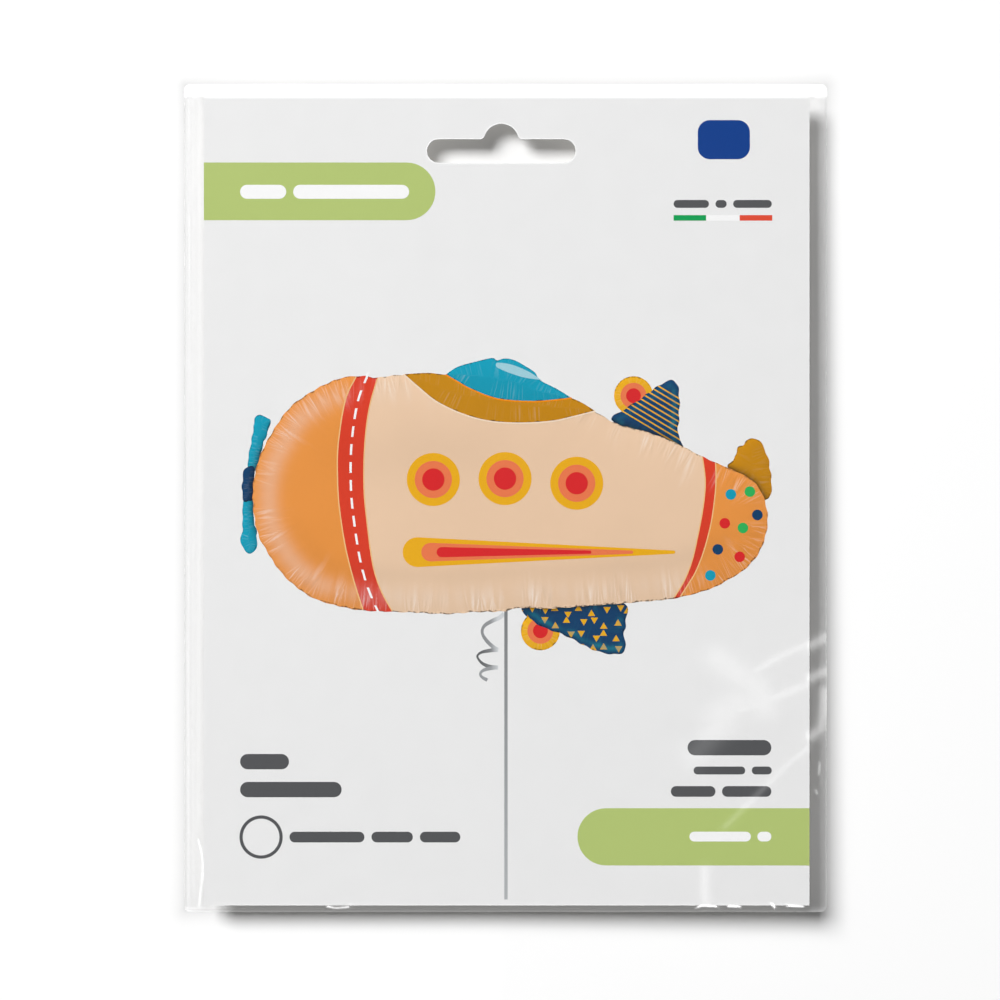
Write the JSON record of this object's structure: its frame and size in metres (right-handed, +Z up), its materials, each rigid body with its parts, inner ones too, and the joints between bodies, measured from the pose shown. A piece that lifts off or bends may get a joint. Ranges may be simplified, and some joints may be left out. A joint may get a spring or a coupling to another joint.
{
  "type": "packed airplane foil balloon",
  "caption": "Flat hang pack: clear film bag with a hang slot, plain printed insert card, and an airplane-shaped foil balloon folded flat behind the card.",
  "frame": {"origin": "highest point of the hang slot's bump, at the middle of the card's thickness, where a display peg carries the pack", "axes": "+Z up as the pack hangs, -Y out of the printed front, +X to the right seen from the front"},
  "size_m": [0.1382, 0.0046, 0.178],
  "materials": {
    "clear_film": "clear packing film, glossy",
    "card": "coated white board, satin",
    "printed_foil": "metallised film, printed",
    "neck_film": "translucent film",
    "teal_foil": "metallised film, printed",
    "navy_foil": "metallised film, printed",
    "gold_foil": "metallised film, printed"
  },
  "bodies": {
    "root": {"bag_front_film": "clear_film", "bag_back_film": "clear_film", "insert_card": "card", "envelope": "printed_foil", "filling_neck": "neck_film", "propeller_blade_upper": "teal_foil", "propeller_blade_lower": "teal_foil", "propeller_hub": "navy_foil", "wing_upper": "navy_foil", "wing_lower": "navy_foil", "engine_pad_upper": "gold_foil", "engine_pad_lower": "gold_foil", "tail_fin": "gold_foil"}
  },
  "joints": []
}
